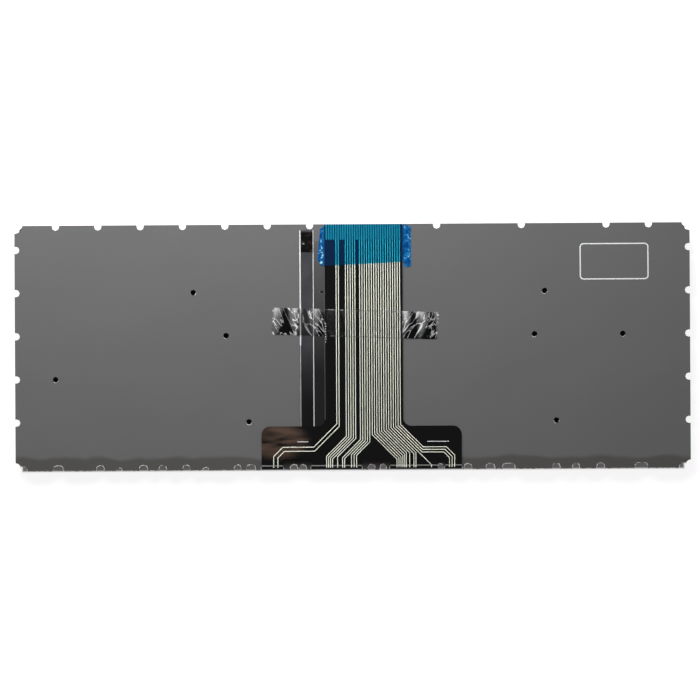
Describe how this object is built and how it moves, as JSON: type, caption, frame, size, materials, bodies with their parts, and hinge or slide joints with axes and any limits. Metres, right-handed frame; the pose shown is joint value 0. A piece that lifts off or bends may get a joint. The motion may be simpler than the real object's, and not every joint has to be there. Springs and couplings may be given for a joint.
{
  "type": "laptop keyboard",
  "caption": "Frameless laptop keyboard lying on its keys: notched back sheet, circuit film folded round the front edge to a flat tail, backlight ribbon and keys that press on scissor links.",
  "frame": {"origin": "under the middle of the plate, on the surface that the key crowns rest on", "axes": "+X along the key rows, +Y towards the function row, +Z out of the back"},
  "size_m": [0.287, 0.1046, 0.0058],
  "materials": {
    "back_sheet": "satin dark grey sheet",
    "plate_metal": "pressed sheet metal",
    "light_guide": "clear moulded sheet",
    "lamp_film": "flexible circuit with small lamps",
    "ribbon_film": "glossy dark flat cable",
    "tail_film": "glossy black film with printed traces",
    "stiffener": "thin backing",
    "clear_tape": "clear crinkled tape",
    "blue_film": "see-through blue film",
    "key_cap": "fine matte black",
    "link_plastic": "moulded white",
    "dome_rubber": "pale silicone"
  },
  "bodies": {
    "board": {"back_sheet": "back_sheet", "base_plate": "plate_metal", "light_guide": "light_guide", "led_strip": "lamp_film", "backlight_ribbon": "ribbon_film", "circuit_film": "tail_film", "tail_stiffener": "stiffener", "clear_tape": "clear_tape", "contact_cover": "blue_film", "control_key_caps": "key_cap", "scissor_links": "link_plastic", "rubber_domes": "dome_rubber"},
    "key_grave": {"key_grave": "key_cap"},
    "key_1": {"key_1": "key_cap"},
    "key_2": {"key_2": "key_cap"},
    "key_3": {"key_3": "key_cap"},
    "key_4": {"key_4": "key_cap"},
    "key_5": {"key_5": "key_cap"},
    "key_6": {"key_6": "key_cap"},
    "key_7": {"key_7": "key_cap"},
    "key_8": {"key_8": "key_cap"},
    "key_9": {"key_9": "key_cap"},
    "key_0": {"key_0": "key_cap"},
    "key_minus": {"key_minus": "key_cap"},
    "key_equals": {"key_equals": "key_cap"},
    "key_q": {"key_q": "key_cap"},
    "key_w": {"key_w": "key_cap"},
    "key_e": {"key_e": "key_cap"},
    "key_r": {"key_r": "key_cap"},
    "key_t": {"key_t": "key_cap"},
    "key_y": {"key_y": "key_cap"},
    "key_u": {"key_u": "key_cap"},
    "key_i": {"key_i": "key_cap"},
    "key_o": {"key_o": "key_cap"},
    "key_p": {"key_p": "key_cap"},
    "key_left_bracket": {"key_left_bracket": "key_cap"},
    "key_right_bracket": {"key_right_bracket": "key_cap"},
    "key_a": {"key_a": "key_cap"},
    "key_s": {"key_s": "key_cap"},
    "key_d": {"key_d": "key_cap"},
    "key_f": {"key_f": "key_cap"},
    "key_g": {"key_g": "key_cap"},
    "key_h": {"key_h": "key_cap"},
    "key_j": {"key_j": "key_cap"},
    "key_k": {"key_k": "key_cap"},
    "key_l": {"key_l": "key_cap"},
    "key_semicolon": {"key_semicolon": "key_cap"},
    "key_quote": {"key_quote": "key_cap"},
    "key_z": {"key_z": "key_cap"},
    "key_x": {"key_x": "key_cap"},
    "key_c": {"key_c": "key_cap"},
    "key_v": {"key_v": "key_cap"},
    "key_b": {"key_b": "key_cap"},
    "key_n": {"key_n": "key_cap"},
    "key_m": {"key_m": "key_cap"},
    "key_comma": {"key_comma": "key_cap"},
    "key_period": {"key_period": "key_cap"},
    "key_slash": {"key_slash": "key_cap"},
    "key_backslash": {"key_backslash": "key_cap"},
    "key_space": {"key_space": "key_cap"}
  },
  "joints": [
    {"name": "press_grave", "type": "slide", "parent": "board", "child": "key_grave", "axis": [0, 0, 1], "range_m": [0, 0.0016], "stiffness_N_per_m": 260, "springref_m": -0.00125, "deforming": ["rubber_domes", "scissor_links"]},
    {"name": "press_1", "type": "slide", "parent": "board", "child": "key_1", "axis": [0, 0, 1], "range_m": [0, 0.0016], "stiffness_N_per_m": 260, "springref_m": -0.00125, "deforming": ["rubber_domes", "scissor_links"]},
    {"name": "press_2", "type": "slide", "parent": "board", "child": "key_2", "axis": [0, 0, 1], "range_m": [0, 0.0016], "stiffness_N_per_m": 260, "springref_m": -0.00125, "deforming": ["rubber_domes", "scissor_links"]},
    {"name": "press_3", "type": "slide", "parent": "board", "child": "key_3", "axis": [0, 0, 1], "range_m": [0, 0.0016], "stiffness_N_per_m": 260, "springref_m": -0.00125, "deforming": ["rubber_domes", "scissor_links"]},
    {"name": "press_4", "type": "slide", "parent": "board", "child": "key_4", "axis": [0, 0, 1], "range_m": [0, 0.0016], "stiffness_N_per_m": 260, "springref_m": -0.00125, "deforming": ["rubber_domes", "scissor_links"]},
    {"name": "press_5", "type": "slide", "parent": "board", "child": "key_5", "axis": [0, 0, 1], "range_m": [0, 0.0016], "stiffness_N_per_m": 260, "springref_m": -0.00125, "deforming": ["rubber_domes", "scissor_links"]},
    {"name": "press_6", "type": "slide", "parent": "board", "child": "key_6", "axis": [0, 0, 1], "range_m": [0, 0.0016], "stiffness_N_per_m": 260, "springref_m": -0.00125, "deforming": ["rubber_domes", "scissor_links"]},
    {"name": "press_7", "type": "slide", "parent": "board", "child": "key_7", "axis": [0, 0, 1], "range_m": [0, 0.0016], "stiffness_N_per_m": 260, "springref_m": -0.00125, "deforming": ["rubber_domes", "scissor_links"]},
    {"name": "press_8", "type": "slide", "parent": "board", "child": "key_8", "axis": [0, 0, 1], "range_m": [0, 0.0016], "stiffness_N_per_m": 260, "springref_m": -0.00125, "deforming": ["rubber_domes", "scissor_links"]},
    {"name": "press_9", "type": "slide", "parent": "board", "child": "key_9", "axis": [0, 0, 1], "range_m": [0, 0.0016], "stiffness_N_per_m": 260, "springref_m": -0.00125, "deforming": ["rubber_domes", "scissor_links"]},
    {"name": "press_0", "type": "slide", "parent": "board", "child": "key_0", "axis": [0, 0, 1], "range_m": [0, 0.0016], "stiffness_N_per_m": 260, "springref_m": -0.00125, "deforming": ["rubber_domes", "scissor_links"]},
    {"name": "press_minus", "type": "slide", "parent": "board", "child": "key_minus", "axis": [0, 0, 1], "range_m": [0, 0.0016], "stiffness_N_per_m": 260, "springref_m": -0.00125, "deforming": ["rubber_domes", "scissor_links"]},
    {"name": "press_equals", "type": "slide", "parent": "board", "child": "key_equals", "axis": [0, 0, 1], "range_m": [0, 0.0016], "stiffness_N_per_m": 260, "springref_m": -0.00125, "deforming": ["rubber_domes", "scissor_links"]},
    {"name": "press_q", "type": "slide", "parent": "board", "child": "key_q", "axis": [0, 0, 1], "range_m": [0, 0.0016], "stiffness_N_per_m": 260, "springref_m": -0.00125, "deforming": ["rubber_domes", "scissor_links"]},
    {"name": "press_w", "type": "slide", "parent": "board", "child": "key_w", "axis": [0, 0, 1], "range_m": [0, 0.0016], "stiffness_N_per_m": 260, "springref_m": -0.00125, "deforming": ["rubber_domes", "scissor_links"]},
    {"name": "press_e", "type": "slide", "parent": "board", "child": "key_e", "axis": [0, 0, 1], "range_m": [0, 0.0016], "stiffness_N_per_m": 260, "springref_m": -0.00125, "deforming": ["rubber_domes", "scissor_links"]},
    {"name": "press_r", "type": "slide", "parent": "board", "child": "key_r", "axis": [0, 0, 1], "range_m": [0, 0.0016], "stiffness_N_per_m": 260, "springref_m": -0.00125, "deforming": ["rubber_domes", "scissor_links"]},
    {"name": "press_t", "type": "slide", "parent": "board", "child": "key_t", "axis": [0, 0, 1], "range_m": [0, 0.0016], "stiffness_N_per_m": 260, "springref_m": -0.00125, "deforming": ["rubber_domes", "scissor_links"]},
    {"name": "press_y", "type": "slide", "parent": "board", "child": "key_y", "axis": [0, 0, 1], "range_m": [0, 0.0016], "stiffness_N_per_m": 260, "springref_m": -0.00125, "deforming": ["rubber_domes", "scissor_links"]},
    {"name": "press_u", "type": "slide", "parent": "board", "child": "key_u", "axis": [0, 0, 1], "range_m": [0, 0.0016], "stiffness_N_per_m": 260, "springref_m": -0.00125, "deforming": ["rubber_domes", "scissor_links"]},
    {"name": "press_i", "type": "slide", "parent": "board", "child": "key_i", "axis": [0, 0, 1], "range_m": [0, 0.0016], "stiffness_N_per_m": 260, "springref_m": -0.00125, "deforming": ["rubber_domes", "scissor_links"]},
    {"name": "press_o", "type": "slide", "parent": "board", "child": "key_o", "axis": [0, 0, 1], "range_m": [0, 0.0016], "stiffness_N_per_m": 260, "springref_m": -0.00125, "deforming": ["rubber_domes", "scissor_links"]},
    {"name": "press_p", "type": "slide", "parent": "board", "child": "key_p", "axis": [0, 0, 1], "range_m": [0, 0.0016], "stiffness_N_per_m": 260, "springref_m": -0.00125, "deforming": ["rubber_domes", "scissor_links"]},
    {"name": "press_left_bracket", "type": "slide", "parent": "board", "child": "key_left_bracket", "axis": [0, 0, 1], "range_m": [0, 0.0016], "stiffness_N_per_m": 260, "springref_m": -0.00125, "deforming": ["rubber_domes", "scissor_links"]},
    {"name": "press_right_bracket", "type": "slide", "parent": "board", "child": "key_right_bracket", "axis": [0, 0, 1], "range_m": [0, 0.0016], "stiffness_N_per_m": 260, "springref_m": -0.00125, "deforming": ["rubber_domes", "scissor_links"]},
    {"name": "press_a", "type": "slide", "parent": "board", "child": "key_a", "axis": [0, 0, 1], "range_m": [0, 0.0016], "stiffness_N_per_m": 260, "springref_m": -0.00125, "deforming": ["rubber_domes", "scissor_links"]},
    {"name": "press_s", "type": "slide", "parent": "board", "child": "key_s", "axis": [0, 0, 1], "range_m": [0, 0.0016], "stiffness_N_per_m": 260, "springref_m": -0.00125, "deforming": ["rubber_domes", "scissor_links"]},
    {"name": "press_d", "type": "slide", "parent": "board", "child": "key_d", "axis": [0, 0, 1], "range_m": [0, 0.0016], "stiffness_N_per_m": 260, "springref_m": -0.00125, "deforming": ["rubber_domes", "scissor_links"]},
    {"name": "press_f", "type": "slide", "parent": "board", "child": "key_f", "axis": [0, 0, 1], "range_m": [0, 0.0016], "stiffness_N_per_m": 260, "springref_m": -0.00125, "deforming": ["rubber_domes", "scissor_links"]},
    {"name": "press_g", "type": "slide", "parent": "board", "child": "key_g", "axis": [0, 0, 1], "range_m": [0, 0.0016], "stiffness_N_per_m": 260, "springref_m": -0.00125, "deforming": ["rubber_domes", "scissor_links"]},
    {"name": "press_h", "type": "slide", "parent": "board", "child": "key_h", "axis": [0, 0, 1], "range_m": [0, 0.0016], "stiffness_N_per_m": 260, "springref_m": -0.00125, "deforming": ["rubber_domes", "scissor_links"]},
    {"name": "press_j", "type": "slide", "parent": "board", "child": "key_j", "axis": [0, 0, 1], "range_m": [0, 0.0016], "stiffness_N_per_m": 260, "springref_m": -0.00125, "deforming": ["rubber_domes", "scissor_links"]},
    {"name": "press_k", "type": "slide", "parent": "board", "child": "key_k", "axis": [0, 0, 1], "range_m": [0, 0.0016], "stiffness_N_per_m": 260, "springref_m": -0.00125, "deforming": ["rubber_domes", "scissor_links"]},
    {"name": "press_l", "type": "slide", "parent": "board", "child": "key_l", "axis": [0, 0, 1], "range_m": [0, 0.0016], "stiffness_N_per_m": 260, "springref_m": -0.00125, "deforming": ["rubber_domes", "scissor_links"]},
    {"name": "press_semicolon", "type": "slide", "parent": "board", "child": "key_semicolon", "axis": [0, 0, 1], "range_m": [0, 0.0016], "stiffness_N_per_m": 260, "springref_m": -0.00125, "deforming": ["rubber_domes", "scissor_links"]},
    {"name": "press_quote", "type": "slide", "parent": "board", "child": "key_quote", "axis": [0, 0, 1], "range_m": [0, 0.0016], "stiffness_N_per_m": 260, "springref_m": -0.00125, "deforming": ["rubber_domes", "scissor_links"]},
    {"name": "press_z", "type": "slide", "parent": "board", "child": "key_z", "axis": [0, 0, 1], "range_m": [0, 0.0016], "stiffness_N_per_m": 260, "springref_m": -0.00125, "deforming": ["rubber_domes", "scissor_links"]},
    {"name": "press_x", "type": "slide", "parent": "board", "child": "key_x", "axis": [0, 0, 1], "range_m": [0, 0.0016], "stiffness_N_per_m": 260, "springref_m": -0.00125, "deforming": ["rubber_domes", "scissor_links"]},
    {"name": "press_c", "type": "slide", "parent": "board", "child": "key_c", "axis": [0, 0, 1], "range_m": [0, 0.0016], "stiffness_N_per_m": 260, "springref_m": -0.00125, "deforming": ["rubber_domes", "scissor_links"]},
    {"name": "press_v", "type": "slide", "parent": "board", "child": "key_v", "axis": [0, 0, 1], "range_m": [0, 0.0016], "stiffness_N_per_m": 260, "springref_m": -0.00125, "deforming": ["rubber_domes", "scissor_links"]},
    {"name": "press_b", "type": "slide", "parent": "board", "child": "key_b", "axis": [0, 0, 1], "range_m": [0, 0.0016], "stiffness_N_per_m": 260, "springref_m": -0.00125, "deforming": ["rubber_domes", "scissor_links"]},
    {"name": "press_n", "type": "slide", "parent": "board", "child": "key_n", "axis": [0, 0, 1], "range_m": [0, 0.0016], "stiffness_N_per_m": 260, "springref_m": -0.00125, "deforming": ["rubber_domes", "scissor_links"]},
    {"name": "press_m", "type": "slide", "parent": "board", "child": "key_m", "axis": [0, 0, 1], "range_m": [0, 0.0016], "stiffness_N_per_m": 260, "springref_m": -0.00125, "deforming": ["rubber_domes", "scissor_links"]},
    {"name": "press_comma", "type": "slide", "parent": "board", "child": "key_comma", "axis": [0, 0, 1], "range_m": [0, 0.0016], "stiffness_N_per_m": 260, "springref_m": -0.00125, "deforming": ["rubber_domes", "scissor_links"]},
    {"name": "press_period", "type": "slide", "parent": "board", "child": "key_period", "axis": [0, 0, 1], "range_m": [0, 0.0016], "stiffness_N_per_m": 260, "springref_m": -0.00125, "deforming": ["rubber_domes", "scissor_links"]},
    {"name": "press_slash", "type": "slide", "parent": "board", "child": "key_slash", "axis": [0, 0, 1], "range_m": [0, 0.0016], "stiffness_N_per_m": 260, "springref_m": -0.00125, "deforming": ["rubber_domes", "scissor_links"]},
    {"name": "press_backslash", "type": "slide", "parent": "board", "child": "key_backslash", "axis": [0, 0, 1], "range_m": [0, 0.0016], "stiffness_N_per_m": 260, "springref_m": -0.00125, "deforming": ["rubber_domes", "scissor_links"]},
    {"name": "press_space", "type": "slide", "parent": "board", "child": "key_space", "axis": [0, 0, 1], "range_m": [0, 0.0016], "stiffness_N_per_m": 320, "springref_m": -0.0014, "deforming": ["rubber_domes", "scissor_links"]}
  ]
}
